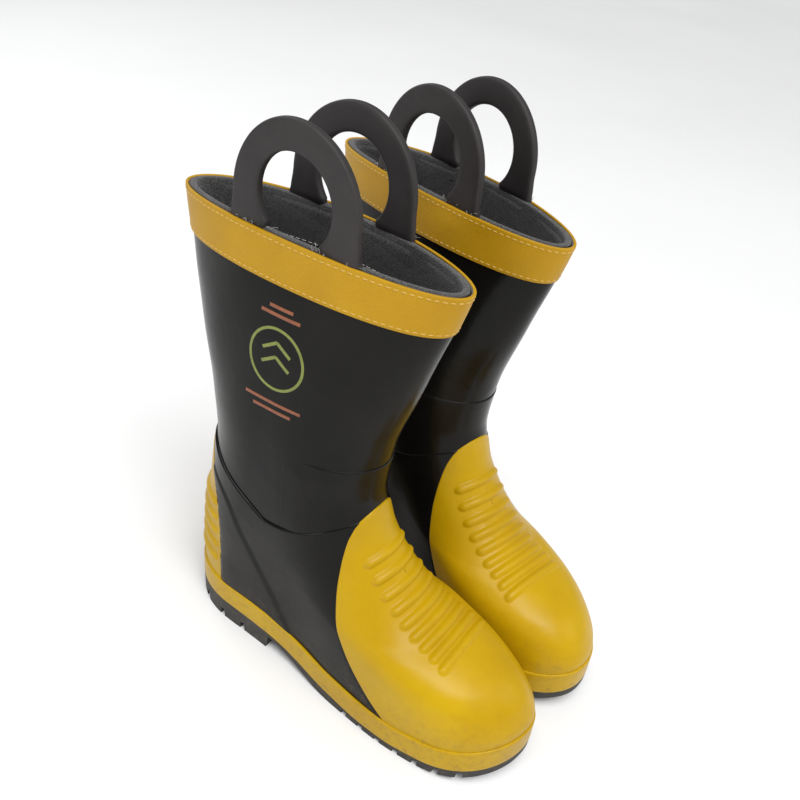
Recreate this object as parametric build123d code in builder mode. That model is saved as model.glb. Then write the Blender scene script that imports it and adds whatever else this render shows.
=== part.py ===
from build123d import *
import math
import os

from scipy.interpolate import PchipInterpolator

# A pair of knee-height rubber fire boots standing side by side on a floor at Z = 0, toes to -Y.
# Every piece is made once, for the left boot, in that boot's own frame: the back of the heel is
# near Y = 0, the toe runs to -Y and +X is the outer side of the foot. It is then turned and set
# in its place, and mirrored for the right boot. All sizes are in millimetres.

# ---- driving dimensions: the pair ------------------------------------------------------------
HEEL_OFFSET = 74.0        # heel centre of each boot from the plane between the boots
TOE_IN = 6.0              # degrees that each toe turns towards the other boot

# ---- driving dimensions: wall layers, as depths below the rubber's outer face -----------------
RUBBER = 2.8              # inner face of the rubber shell
LINER = 5.0               # inner face of the heat-insulating layer and of the steel toe cap
LINING = 6.5              # inner face of the woven lining
FACING = 7.6              # inner face of the facing strip round the mouth
WELT = 3.2                # how far the welt band and the outsole stand out
GUARD = 2.0               # thickness of the toe and heel guards
RIDGE = 3.8               # height of the guards' ridges
OVERLAY = 1.0             # thickness of the black reinforcements
BAND = 1.5                # thickness of the band round the mouth
THREAD = 2.1              # outer face of the stitching on the band

# ---- driving dimensions: the mouth ---------------------------------------------------------------
MOUTH_TOP = 349.0         # height of the mouth at the sides
MOUTH_MIDDLE = 82.5       # place of that highest point along the foot
MOUTH_SPAN = 142.5        # the mouth's line is an arc, drawn this far each way ...
MOUTH_DROP = 7.0          # ... and this much lower there
BAND_HEIGHT = 28.0
STITCH_INSET = 2.4        # from each edge of the band
STITCH_WIDTH = 1.0
FACING_EDGE = 1.5
FACING_HEIGHT = 32.0

# ---- driving dimensions: the sole -----------------------------------------------------------------
SOLE_LINE = [(-14, 18), (40, 18), (90, 17), (125, 12.5), (160, 8), (190, 5.5), (215, 5.5),
             (240, 7.5), (272, 13), (312, 23)]      # top of the outsole: (forward, height)
WELT_HEIGHT = 20.0
FILLER_TOP = 7.2          # sole layers, each as a height above the top of the outsole
STEEL_PLATE = 1.2
BOARD_TOP = 9.4
FOOTBED_TOP = 14.4
HEEL_BREAST = 92.0        # front face of the heel block
BREAST_LEAN = 2.0         # how far that face leans forward
ARCH_CLEARANCE = 13.5     # height of the sole's underside just in front of the heel block
TREAD_START = 168.0       # the tread touches the floor from here ...
TREAD_END = 222.0         # ... to here, where the toe spring starts
TOE_UNDERSIDE = (312.0, 17.0)
GROOVE_FLOOR = 2.2        # rubber left above a forefoot groove
GROOVE_WIDTH = 4.5
FOREFOOT_GROOVES = [178.0 + 16.0 * step for step in range(7)]
HEEL_GROOVES = [22.0, 44.0, 66.0]
HEEL_GROOVE_DEPTH = 7.0
CENTRE_GROOVE = (172.0, 278.0)

# ---- driving dimensions: side outline, as (height, distance forward of the heel) ---------------
BACK_LINE = [(0, 2), (40, 0), (90, 2), (140, 9), (175, 11), (215, 6), (270, -8), (345, -25),
             (370, -30)]
FRONT_LINE = [(0, 299), (42, 298), (56, 291), (68, 277), (78, 252), (85, 228), (100, 201),
              (118, 180), (142, 161), (175, 151), (215, 155), (270, 170), (345, 190), (370, 195)]
SLICES = [0, 8, 16, 24, 32, 40, 48, 55, 61, 67, 73, 79, 85, 92, 100, 110, 122, 136, 154, 176, 202,
          232, 264, 296, 328, 362]
SIDE_POINTS = 16          # outline points along each side of a slice

# ---- driving dimensions: widths --------------------------------------------------------------------
FOOT_OUTER = [(-5, 34), (40, 35), (110, 37.5), (160, 44), (210, 47.5), (250, 45), (300, 38)]
FOOT_INNER = [(-5, 33), (40, 34), (110, 33), (160, 41), (205, 46), (250, 44), (300, 40)]
SHAFT_HALF_WIDTH = [(0, 40), (140, 40), (175, 41), (215, 42), (270, 40), (345, 33), (370, 31)]
BACK_ROUNDING = [(0, 46), (60, 50), (140, 54), (215, 64), (345, 107), (370, 112)]
FRONT_ROUNDING = [(0, 60), (40, 68), (60, 84), (75, 98), (90, 100), (115, 85), (145, 64),
                  (175, 60), (215, 68), (345, 107), (370, 112)]
FOOT_TO_SHAFT = (60.0, 150.0)   # heights between which the foot's outline turns into the shaft's
TOE_FULLNESS = 0.8        # how much squarer than an ellipse the foot's outline is at the toe
TOE_SHIFT = -7.0          # the toe's tip lies this far to the inner side
TOE_SHIFT_START = 150.0

# ---- driving dimensions: guards, reinforcements and stiffeners, in side view ----------------------
TOE_GUARD_EDGE = [(157, 172), (151, 150), (150, 112), (155, 90), (168, 66), (190, 41), (222, 18)]
HEEL_GUARD_EDGE = [(44, 24), (40, 60), (40, 92), (36, 122), (26, 150), (4, 178)]
UPPER_EDGE = [(-10, 178), (18, 170), (50, 152), (82, 138), (112, 141), (140, 154), (170, 170)]
ANKLE_PATCH_TOP = 203.0
ANKLE_PATCH_BACK = 98.0
PATCH_CORNER = 12.0
COUNTER_EDGE = [(126, 20), (102, 50), (82, 76), (62, 106), (46, 132), (20, 150), (-14, 158)]
TOE_CAP_BACK = 230.0
TOE_CAP_STRIP = 7.0
TOE_RIDGES = 9
RIDGE_START = (158.0, 139.0)    # (forward, height) of the first ridge, nearest the ankle
RIDGE_END = (236.0, 80.0)
RIDGE_BOW = 9.0           # how far the row of ridges sags below a straight line
RIDGE_WIDTH = 5.6
RIDGE_REACH = (23.0, 31.0)      # half-length of the first and the last ridge
HEEL_RIDGES = [52.0 + 15.0 * step for step in range(5)]
HEEL_RIDGE_WIDTH = 8.0
HEEL_RIDGE_END = 34.0     # forward end of the heel ridges

# ---- driving dimensions: pull loops ------------------------------------------------------------------
LOOP_CENTRE = 84.0        # along the foot
LOOP_PLANE = 27.5         # across, from the boot's centre plane to the middle of the strap
LOOP_THICK = 7.0
LOOP_GAP = 0.5            # clearance between the strap's rounded feet and the mouth
FLEX_HEIGHT = MOUTH_TOP + LOOP_GAP + LOOP_THICK / 2     # the line that the strap bends about
ARCH_CENTRE = 14.0        # centre of the strap's outer ellipse above the flex line
ARCH_SIZE = (46.5, 52.0)  # its half-width and half-height
EYE_CENTRE = 19.0         # the same for the eye
EYE_SIZE = (27.0, 28.5)
LOOP_EDGE = 2.2           # rounding of the strap's edges
ANCHOR_WIDTH = 90.0
ANCHOR_DEPTH = 42.0
ANCHOR_CORNER = 14.0

SIDE = Plane(origin=(0, 0, 0), x_dir=(0, -1, 0), z_dir=(-1, 0, 0))   # (forward, up)
PLAN = Plane(origin=(0, 0, 0), x_dir=(0, -1, 0), z_dir=(0, 0, 1))    # (forward, outward)
REACH = 90.0              # half-width of every cutter drawn in side view
FAR = 400.0               # beyond the boot in any direction

back_at = PchipInterpolator(*zip(*BACK_LINE))
front_at = PchipInterpolator(*zip(*FRONT_LINE))
outer_at = PchipInterpolator(*zip(*FOOT_OUTER))
inner_at = PchipInterpolator(*zip(*FOOT_INNER))
shaft_at = PchipInterpolator(*zip(*SHAFT_HALF_WIDTH))
back_round_at = PchipInterpolator(*zip(*BACK_ROUNDING))
front_round_at = PchipInterpolator(*zip(*FRONT_ROUNDING))


def smooth_step(value, low, high):
    """0 below low, 1 above high, and an S-shaped ramp between them."""
    part = min(max((value - low) / (high - low), 0.0), 1.0)
    return part * part * (3 - 2 * part)


def end_factor(distance, rounding, fullness):
    """Share of the full width at a distance from a rounded end: a quarter ellipse, or squarer."""
    part = min(max(distance / rounding, 0.0), 1.0)
    return math.sqrt(1 - (1 - part) ** fullness)


def half_width(forward, height, outer):
    """Half-width of the boot's outline before its ends are rounded."""
    foot = float(outer_at(forward)) if outer else float(inner_at(forward))
    shaft_share = smooth_step(height, *FOOT_TO_SHAFT)
    return foot * (1 - shaft_share) + float(shaft_at(height)) * shaft_share


def slice_points(height, depth):
    """Points (forward, outward) of the horizontal outline, moved in by depth along the normal."""
    back_move = depth * math.hypot(1, float(back_at(height, 1)))
    front_move = depth * math.hypot(1, float(front_at(height, 1)))
    back = float(back_at(height)) + back_move
    front = float(front_at(height)) - front_move
    back_round = float(back_round_at(height)) - back_move
    front_round = float(front_round_at(height)) - front_move
    low_share = 1 - smooth_step(height, *FOOT_TO_SHAFT)
    points = []
    for step in range(2 * SIDE_POINTS):
        turn = math.pi * step / SIDE_POINTS
        forward = back + (front - back) * (1 - math.cos(turn)) / 2
        outer = step <= SIDE_POINTS
        factor = end_factor(forward - back, back_round, 2)
        factor *= end_factor(front - forward, front_round, 2 + TOE_FULLNESS * low_share)
        shift = TOE_SHIFT * low_share * smooth_step(forward, TOE_SHIFT_START, front + 30)
        side = 1 if outer else -1
        width = half_width(forward, height, outer) - depth - side * shift
        points.append((forward, shift + side * factor * width))
    return points


def boot_form(depth):
    """Solid of the boot's whole form, its faces moved in by depth (out where it is negative)."""
    knots = [step / (2 * SIDE_POINTS) for step in range(2 * SIDE_POINTS + 1)]
    with BuildPart() as form:
        for height in SLICES:
            with BuildSketch(PLAN.offset(height)):
                with BuildLine():
                    corners = [Vector(*point) for point in slice_points(height, depth)]
                    add(Edge.make_spline(corners, periodic=True, parameters=knots))
                make_face()
        loft()
    return form.part


def sole_curve(rise):
    """The top line of the outsole in side view, moved up by rise."""
    return Edge.make_spline([Vector(forward, height + rise) for forward, height in SOLE_LINE])


def mouth_curve(drop):
    """The mouth's line in side view, moved down by drop: one long arc, highest at the sides."""
    back = Vector(MOUTH_MIDDLE - MOUTH_SPAN, MOUTH_TOP - MOUTH_DROP - drop)
    middle = Vector(MOUTH_MIDDLE, MOUTH_TOP - drop)
    front = Vector(MOUTH_MIDDLE + MOUTH_SPAN, MOUTH_TOP - MOUTH_DROP - drop)
    return Edge.make_three_point_arc(back, middle, front)


def slab_between(low_curve, high_curve):
    """Everything between two lines drawn in side view."""
    with BuildPart() as slab:
        with BuildSketch(SIDE):
            with BuildLine():
                add(low_curve)
                add(high_curve)
                Line(low_curve @ 0, high_curve @ 0)
                Line(low_curve @ 1, high_curve @ 1)
            make_face()
        extrude(amount=REACH, both=True)
    return slab.part


def side_profile_width(centre, size):
    """Half-width, at the flex line, of an ellipse drawn in side view above that line."""
    return size[0] * math.sqrt(1 - (centre / size[1]) ** 2)


def region_beside(edge_points, *corners):
    """Everything on one side of a smooth line drawn in side view, closed through the corners."""
    with BuildPart() as region:
        with BuildSketch(SIDE):
            with BuildLine():
                Spline(*edge_points)
                Polyline(edge_points[-1], *corners, edge_points[0])
            make_face()
        extrude(amount=REACH, both=True)
    return region.part


# ---- shared solids ---------------------------------------------------------------------------------
rubber_form = boot_form(0)
rubber_inside = boot_form(RUBBER)
liner_inside = boot_form(LINER)
lining_inside = boot_form(LINING)
facing_inside = boot_form(FACING)
overlay_form = boot_form(-OVERLAY)
band_form = boot_form(-BAND)
guard_form = boot_form(-GUARD)
thread_form = boot_form(-THREAD)
welt_form = boot_form(-WELT)
ridge_form = boot_form(-RIDGE)

boot_span = slab_between(sole_curve(0), mouth_curve(0))
lining_span = slab_between(sole_curve(BOARD_TOP), mouth_curve(0))
above_welt = slab_between(sole_curve(WELT_HEIGHT), mouth_curve(BAND_HEIGHT))
toe_side = region_beside(TOE_GUARD_EDGE, (FAR, 0), (FAR, 190))
heel_side = region_beside(HEEL_GUARD_EDGE, (-40, 178), (-40, 0))
below_upper_edge = region_beside(UPPER_EDGE, (FAR, 170), (FAR, -10), (-10, -10))
counter_side = region_beside(COUNTER_EDGE, (-40, 158), (-40, 0))

pieces = {}

# ---- outsole: treaded rubber unit with a heel block and toe spring --------------------------------
breast_top = (HEEL_BREAST + BREAST_LEAN, ARCH_CLEARANCE)
with BuildPart() as outsole:
    with BuildSketch(SIDE):
        with BuildLine():
            top = sole_curve(0)
            add(top)
            Polyline(top @ 0, (SOLE_LINE[0][0], 0), (HEEL_BREAST, 0), breast_top)
            Spline(breast_top, (TREAD_START, 0),
                   tangents=[(1, -0.1), (1, 0)])
            Line((TREAD_START, 0), (TREAD_END, 0))
            Spline((TREAD_END, 0), TOE_UNDERSIDE, tangents=[(1, 0), (1, 0.3)])
            Line(TOE_UNDERSIDE, top @ 1)
        make_face()
    extrude(amount=REACH, both=True)
    add(welt_form, mode=Mode.INTERSECT)
with BuildPart() as tread_grooves:
    with BuildSketch(PLAN.offset(-1)):
        with Locations(*[(forward, 0) for forward in FOREFOOT_GROOVES]):
            Rectangle(GROOVE_WIDTH, 2 * REACH)
        with Locations((sum(CENTRE_GROOVE) / 2, 0)):
            Rectangle(CENTRE_GROOVE[1] - CENTRE_GROOVE[0], GROOVE_WIDTH)
    extrude(amount=FAR)
    add(slab_between(sole_curve(-FAR), sole_curve(-GROOVE_FLOOR)), mode=Mode.INTERSECT)
with BuildPart() as heel_grooves:
    with BuildSketch(PLAN.offset(-1)):
        with Locations(*[(forward, 0) for forward in HEEL_GROOVES]):
            Rectangle(GROOVE_WIDTH, 2 * REACH)
    extrude(amount=1 + HEEL_GROOVE_DEPTH)
with BuildPart() as cut_outsole:
    add(outsole.part)
    add(tread_grooves.part, mode=Mode.SUBTRACT)
    add(heel_grooves.part, mode=Mode.SUBTRACT)
pieces["outsole"] = cut_outsole.part

# ---- welt band: the strip that wraps the joint between the sole and the upper ----------------------
with BuildPart() as welt_band:
    add(welt_form)
    add(rubber_form, mode=Mode.SUBTRACT)
    add(slab_between(sole_curve(0), sole_curve(WELT_HEIGHT)), mode=Mode.INTERSECT)
pieces["welt_band"] = welt_band.part

# ---- bottom stack inside the upper: filler, steel plate let into it, insole board, footbed ---------
with BuildPart() as steel_midsole:
    add(lining_inside)
    add(slab_between(sole_curve(FILLER_TOP - STEEL_PLATE), sole_curve(FILLER_TOP)),
        mode=Mode.INTERSECT)
pieces["steel_midsole"] = steel_midsole.part

with BuildPart() as midsole_filler:
    add(rubber_inside)
    add(slab_between(sole_curve(0), sole_curve(FILLER_TOP)), mode=Mode.INTERSECT)
    add(steel_midsole.part, mode=Mode.SUBTRACT)
pieces["midsole_filler"] = midsole_filler.part

with BuildPart() as insole_board:
    add(rubber_inside)
    add(slab_between(sole_curve(FILLER_TOP), sole_curve(BOARD_TOP)), mode=Mode.INTERSECT)
pieces["insole_board"] = insole_board.part

with BuildPart() as footbed:
    add(lining_inside)
    add(slab_between(sole_curve(BOARD_TOP), sole_curve(FOOTBED_TOP)), mode=Mode.INTERSECT)
pieces["footbed"] = footbed.part

# ---- upper shell: one moulded rubber wall from the welt to the mouth --------------------------------
with BuildPart() as upper_shell:
    add(rubber_form)
    add(rubber_inside, mode=Mode.SUBTRACT)
    add(boot_span, mode=Mode.INTERSECT)
pieces["upper_shell"] = upper_shell.part

# ---- middle layer of the wall: toe cap, its edge strip, heel counter, loop anchors, insulation ------
with BuildPart() as middle_layer:
    add(rubber_inside)
    add(liner_inside, mode=Mode.SUBTRACT)
    add(lining_span, mode=Mode.INTERSECT)

with BuildPart() as steel_toe_cap:
    add(middle_layer.part)
    with BuildSketch(PLAN):
        with Locations((TOE_CAP_BACK, 0)):
            Rectangle(FAR, FAR, align=(Align.MIN, Align.CENTER))
    extrude(amount=FAR, mode=Mode.INTERSECT)
pieces["steel_toe_cap"] = steel_toe_cap.part

with BuildPart() as toe_cap_strip:
    add(middle_layer.part)
    with BuildSketch(PLAN):
        with Locations((TOE_CAP_BACK - TOE_CAP_STRIP, 0)):
            Rectangle(TOE_CAP_STRIP, FAR, align=(Align.MIN, Align.CENTER))
    extrude(amount=FAR, mode=Mode.INTERSECT)
pieces["toe_cap_edge_strip"] = toe_cap_strip.part

with BuildPart() as heel_counter:
    add(middle_layer.part)
    add(counter_side, mode=Mode.INTERSECT)
pieces["heel_counter"] = heel_counter.part


def loop_anchor(side):
    """Tab of a pull loop, held between the shell and the lining; side is 1 outside, -1 inside."""
    with BuildPart() as anchor:
        with BuildSketch(SIDE):
            with Locations((LOOP_CENTRE, MOUTH_TOP - ANCHOR_DEPTH)):
                RectangleRounded(ANCHOR_WIDTH, 2 * ANCHOR_DEPTH, ANCHOR_CORNER,
                                 align=(Align.CENTER, Align.MIN))
        extrude(amount=FAR, dir=(side, 0, 0))
        add(middle_layer.part, mode=Mode.INTERSECT)
    return anchor.part


pieces["loop_anchor_outer"] = loop_anchor(1)
pieces["loop_anchor_inner"] = loop_anchor(-1)

with BuildPart() as thermal_layer:
    add(middle_layer.part)
    with BuildSketch(PLAN):
        with Locations((TOE_CAP_BACK - TOE_CAP_STRIP, 0)):
            Rectangle(FAR, FAR, align=(Align.MIN, Align.CENTER))
    extrude(amount=FAR, mode=Mode.SUBTRACT)
    for name in ("heel_counter", "loop_anchor_outer", "loop_anchor_inner"):
        add(pieces[name], mode=Mode.SUBTRACT)
pieces["thermal_layer"] = thermal_layer.part

# ---- lining, and the facing strip stitched inside the mouth ------------------------------------------
with BuildPart() as lining:
    add(liner_inside)
    add(lining_inside, mode=Mode.SUBTRACT)
    add(lining_span, mode=Mode.INTERSECT)
pieces["lining"] = lining.part

with BuildPart() as facing_strip:
    add(lining_inside)
    add(facing_inside, mode=Mode.SUBTRACT)
    add(slab_between(mouth_curve(FACING_HEIGHT), mouth_curve(FACING_EDGE)), mode=Mode.INTERSECT)
pieces["facing_strip"] = facing_strip.part

# ---- toe guard with its row of cross ridges -----------------------------------------------------------
with BuildPart() as toe_ridges:
    run = Vector(*RIDGE_END) - Vector(*RIDGE_START)
    for step in range(TOE_RIDGES):
        share = step / (TOE_RIDGES - 1)
        sag = 4 * RIDGE_BOW * share * (1 - share)
        middle = Vector(*RIDGE_START) + run * share - Vector(0, sag)
        reach = RIDGE_REACH[0] + (RIDGE_REACH[1] - RIDGE_REACH[0]) * share
        slope = math.degrees(math.atan2(run.Y - 4 * RIDGE_BOW * (1 - 2 * share), run.X))
        with BuildSketch(SIDE):
            with Locations(Location((middle.X, middle.Y, 0), (0, 0, slope))):
                Rectangle(RIDGE_WIDTH, REACH)
        extrude(amount=reach, both=True)
    add(ridge_form, mode=Mode.INTERSECT)
with BuildPart() as toe_guard:
    add(toe_ridges.part)
    add(guard_form)
    add(rubber_form, mode=Mode.SUBTRACT)
    add(toe_side, mode=Mode.INTERSECT)
    add(above_welt, mode=Mode.INTERSECT)
pieces["toe_guard"] = toe_guard.part

# ---- heel guard with level ridges ------------------------------------------------------------------------
with BuildPart() as heel_ridges:
    for height in HEEL_RIDGES:
        with BuildSketch(PLAN.offset(height)):
            with Locations((HEEL_RIDGE_END, 0)):
                Rectangle(100, 2 * REACH, align=(Align.MAX, Align.CENTER))
        extrude(amount=HEEL_RIDGE_WIDTH)
    add(ridge_form, mode=Mode.INTERSECT)
with BuildPart() as heel_guard:
    add(heel_ridges.part)
    add(guard_form)
    add(rubber_form, mode=Mode.SUBTRACT)
    add(heel_side, mode=Mode.INTERSECT)
    add(above_welt, mode=Mode.INTERSECT)
pieces["heel_guard"] = heel_guard.part

# ---- black reinforcements over the foot and round the front of the ankle ---------------------------------
with BuildPart() as vamp_overlay:
    add(overlay_form)
    add(rubber_form, mode=Mode.SUBTRACT)
    add(below_upper_edge, mode=Mode.INTERSECT)
    add(above_welt, mode=Mode.INTERSECT)
    add(toe_side, mode=Mode.SUBTRACT)
    add(heel_side, mode=Mode.SUBTRACT)
pieces["vamp_overlay"] = vamp_overlay.part

with BuildPart() as patch_side:
    with BuildSketch(SIDE):
        with Locations((ANKLE_PATCH_BACK, ANKLE_PATCH_TOP)):
            RectangleRounded(2 * REACH, 2 * REACH, PATCH_CORNER, align=(Align.MIN, Align.MAX))
    extrude(amount=REACH, both=True)
with BuildPart() as ankle_overlay:
    add(overlay_form)
    add(rubber_form, mode=Mode.SUBTRACT)
    add(patch_side.part, mode=Mode.INTERSECT)
    add(below_upper_edge, mode=Mode.SUBTRACT)
    add(toe_side, mode=Mode.SUBTRACT)
pieces["ankle_overlay"] = ankle_overlay.part

# ---- band round the mouth, with one row of stitching along each edge ---------------------------------------
with BuildPart() as topline_band:
    add(band_form)
    add(rubber_form, mode=Mode.SUBTRACT)
    add(slab_between(mouth_curve(BAND_HEIGHT), mouth_curve(0)), mode=Mode.INTERSECT)
pieces["topline_band"] = topline_band.part


def stitch_ring(drop):
    """One row of stitching round the band, its middle line drop below the mouth."""
    with BuildPart() as ring:
        add(thread_form)
        add(band_form, mode=Mode.SUBTRACT)
        add(slab_between(mouth_curve(drop + STITCH_WIDTH / 2), mouth_curve(drop - STITCH_WIDTH / 2)),
            mode=Mode.INTERSECT)
    return ring.part


pieces["band_stitch_upper"] = stitch_ring(STITCH_INSET)
pieces["band_stitch_lower"] = stitch_ring(BAND_HEIGHT - STITCH_INSET)


def pull_loop(side):
    """Moulded strap that arches over the mouth; its feet are rounded about its flex line."""
    foot_outside = side_profile_width(ARCH_CENTRE, ARCH_SIZE)
    foot_inside = side_profile_width(EYE_CENTRE, EYE_SIZE)
    with BuildPart() as strap:
        with BuildSketch(SIDE):
            with Locations((LOOP_CENTRE, FLEX_HEIGHT + ARCH_CENTRE)):
                Ellipse(*ARCH_SIZE)
            with Locations((LOOP_CENTRE, FLEX_HEIGHT + EYE_CENTRE)):
                Ellipse(*EYE_SIZE, mode=Mode.SUBTRACT)
            with Locations((LOOP_CENTRE, FLEX_HEIGHT)):
                Rectangle(FAR, FAR, align=(Align.CENTER, Align.MAX), mode=Mode.SUBTRACT)
        extrude(amount=LOOP_THICK / 2, both=True)
        fillet(strap.edges().filter_by(lambda edge: edge.length > 60), radius=LOOP_EDGE)
        for foot in (-1, 1):
            inner_end = LOOP_CENTRE + foot * foot_inside
            with BuildSketch(Plane(origin=(0, -inner_end, FLEX_HEIGHT), z_dir=(0, -foot, 0))):
                Circle(LOOP_THICK / 2)
            extrude(amount=foot_outside - foot_inside)
    return strap.part.moved(Location((side * LOOP_PLANE, 0, 0)))


pieces["pull_loop_outer"] = pull_loop(1)
pieces["pull_loop_inner"] = pull_loop(-1)

# ---- the pair: the left boot turned and set in its place, and its mirror image ------------------------------
turned = {name: piece.moved(Location((HEEL_OFFSET, 0, 0), (0, 0, -TOE_IN)))
          for name, piece in pieces.items()}
boxes = [piece.bounding_box() for piece in turned.values()]
centre_shift = -(min(box.min.Y for box in boxes) + max(box.max.Y for box in boxes)) / 2

os.makedirs("parts", exist_ok=True)
for name, piece in turned.items():
    with BuildPart() as left_piece:
        add(piece.moved(Location((0, centre_shift, 0))))
    with BuildPart() as right_piece:
        mirror(left_piece.part, about=Plane.YZ)
    left_piece.part.label = "left_" + name
    right_piece.part.label = "right_" + name
    export_step(left_piece.part, "parts/left_" + name + ".step")
    export_step(right_piece.part, "parts/right_" + name + ".step")
print("pair shifted along Y by", round(centre_shift, 2))
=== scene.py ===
import math
import random

import bmesh
import bpy
import numpy as np
from mathutils import Matrix, Vector
from mathutils.kdtree import KDTree


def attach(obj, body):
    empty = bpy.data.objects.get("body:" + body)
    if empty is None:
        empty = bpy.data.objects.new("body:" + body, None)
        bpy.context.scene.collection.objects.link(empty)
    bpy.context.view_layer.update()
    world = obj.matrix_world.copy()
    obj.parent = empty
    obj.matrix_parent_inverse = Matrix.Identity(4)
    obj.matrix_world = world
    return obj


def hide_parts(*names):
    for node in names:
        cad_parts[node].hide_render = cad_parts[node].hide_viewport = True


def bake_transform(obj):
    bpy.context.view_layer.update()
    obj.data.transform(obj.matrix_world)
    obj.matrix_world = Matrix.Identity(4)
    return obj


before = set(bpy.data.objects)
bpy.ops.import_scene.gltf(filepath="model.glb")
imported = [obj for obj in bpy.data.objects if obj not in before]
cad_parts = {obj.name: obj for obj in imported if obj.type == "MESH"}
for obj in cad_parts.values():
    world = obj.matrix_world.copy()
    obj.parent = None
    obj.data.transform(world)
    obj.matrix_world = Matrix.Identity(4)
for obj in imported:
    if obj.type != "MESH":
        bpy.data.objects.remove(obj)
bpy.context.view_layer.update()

# A pair of rubber fire boots. Every piece is made for the left boot in that boot's own frame,
# (forward, outward, up) in millimetres, and is then set in its place in metres and mirrored for
# the right boot. The form is the CAD model's, from the same tables and the same formula. Drawn a
# little finer than there: the corner of the reinforcement, the top of the toe guard, its ridges
# and the feet of the straps.

MM = 0.001

# ---- the pair ----
SIDE_NAMES = {1: "left", -1: "right"}
HEEL_OFFSET = 74.0        # from the pair's middle to a heel's
CENTRE_SHIFT = 135.63     # moves the pair along Y, so that it stands centred
TOE_IN = math.radians(6.0)

# ---- wall layers: depths below the rubber's outer face, and heights above it ----
LINING = 6.5
FACING = 7.6
SHELL_THICK = 2.4
SHELL_BOTTOM = 20.0
SHELL_TOP_DROP = 0.4      # how far below the mouth the wall ends
WELT = 3.35
GUARD = 2.0
RIDGE = 2.3               # height of a ridge above its guard
VAMP_OVERLAY = 1.5
ANKLE_OVERLAY = 0.8
BAND = 1.5
LIP = 1.5                 # distance over which an edge rounds off
BURIED = 0.5              # how far a guard goes down into the wall below it
OVERLAY_BURIED = 1.2      # the same for a reinforcement
WAVINESS = 1.6            # factor on the waviness of the black rubber
GUARD_WAVINESS = 0.8

# ---- the mouth ----
MOUTH_TOP = 349.0
MOUTH_MIDDLE = 82.5
MOUTH_SPAN = 142.5
MOUTH_DROP = 7.0
MOUTH_SEARCH = (280.0, 368.0)  # heights between which its lines lie
BAND_HEIGHT = 28.0
FACING_HEIGHT = 32.0
STITCH_INSET = 2.4        # from an edge of the tape to its row of stitches
STITCH_LENGTH = 3.3
STITCH_PITCH = 4.7
STITCH_SINK = 0.7         # how far a stitch's ends dip in

# ---- the sole ----
SOLE_LINE = [(-14, 18), (40, 18), (90, 17), (125, 12.5), (160, 8), (190, 5.5), (215, 5.5),
             (240, 7.5), (272, 13), (312, 23)]
WELT_HEIGHT = 20.0
PATCH_START = 18.0        # above the sole line: where toe guard and reinforcement start
BOARD_TOP = 9.4
FOOTBED_TOP = 14.4

# ---- side outline, as (height, distance forward of the heel) ----
BACK_LINE = [(0, 2), (40, 0), (90, 2), (140, 9), (175, 11), (215, 6), (270, -8), (345, -25),
             (370, -30)]
FRONT_LINE = [(0, 299), (42, 298), (56, 291), (68, 277), (78, 252), (85, 228), (100, 201),
              (118, 180), (142, 161), (175, 151), (215, 155), (270, 170), (345, 190), (370, 195)]

# ---- widths ----
FOOT_OUTER = [(-5, 34), (40, 35), (110, 37.5), (160, 44), (210, 47.5), (250, 45), (300, 38)]
FOOT_INNER = [(-5, 33), (40, 34), (110, 33), (160, 41), (205, 46), (250, 44), (300, 40)]
SHAFT_HALF_WIDTH = [(0, 40), (140, 40), (175, 41), (215, 42), (270, 40), (345, 33), (370, 31)]
BACK_ROUNDING = [(0, 46), (60, 50), (140, 54), (215, 64), (345, 107), (370, 112)]
FRONT_ROUNDING = [(0, 60), (40, 68), (60, 84), (75, 98), (90, 100), (115, 85), (145, 64),
                  (175, 60), (215, 68), (345, 107), (370, 112)]
FOOT_TO_SHAFT = (60.0, 150.0)
TOE_FULLNESS = 0.8
TOE_SHIFT = -7.0
TOE_SHIFT_START = 150.0

# ---- guards and reinforcements, in side view ----
TOE_GUARD_EDGE = [(157, 172), (151, 163), (147.2, 154), (146, 142), (148.5, 116), (155, 90),
                  (168, 66), (190, 41), (222, 18)]
HEEL_GUARD_EDGE = [(44, 24), (40, 60), (40, 92), (36, 122), (26, 150), (4, 178)]
UPPER_EDGE = [(-10, 178), (18, 170), (50, 153), (76, 138.5), (84, 135.5), (92, 136), (112, 140.5),
              (140, 154), (170, 170)]
COUNTER_EDGE = [(126, 20), (102, 50), (82, 76), (62, 106), (46, 132), (20, 150), (-14, 158)]
COUNTER_TOP = 158.0
COUNTER_RISE = 0.9        # the step where the heel counter shows through
ANKLE_PATCH = (118.0, 203.0)  # heights of its two level edges
ANKLE_PATCH_BACK = 98.0
ANKLE_PATCH_FADE = 16.0   # distance over which its back edges fade out
PATCH_CORNER = 12.0
TOE_GUARD_SHOULDER = 148.0  # height where its side edge becomes its top edge
HEEL_GUARD_BOTTOM = 34.0  # behind the welt
TOE_RIDGES = 9
RIDGE_START = np.array((165.0, 130.5))
RIDGE_END = np.array((237.0, 79.0))
RIDGE_BOW = 9.0
RIDGE_HALF_WIDTH = 4.1
RIDGE_REACH = (23.0, 31.0)
HEEL_RIDGES = [56.0 + 15.0 * step for step in range(5)]
HEEL_RIDGE_HALF = 4.6
HEEL_RIDGE_END = 36.0

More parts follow.
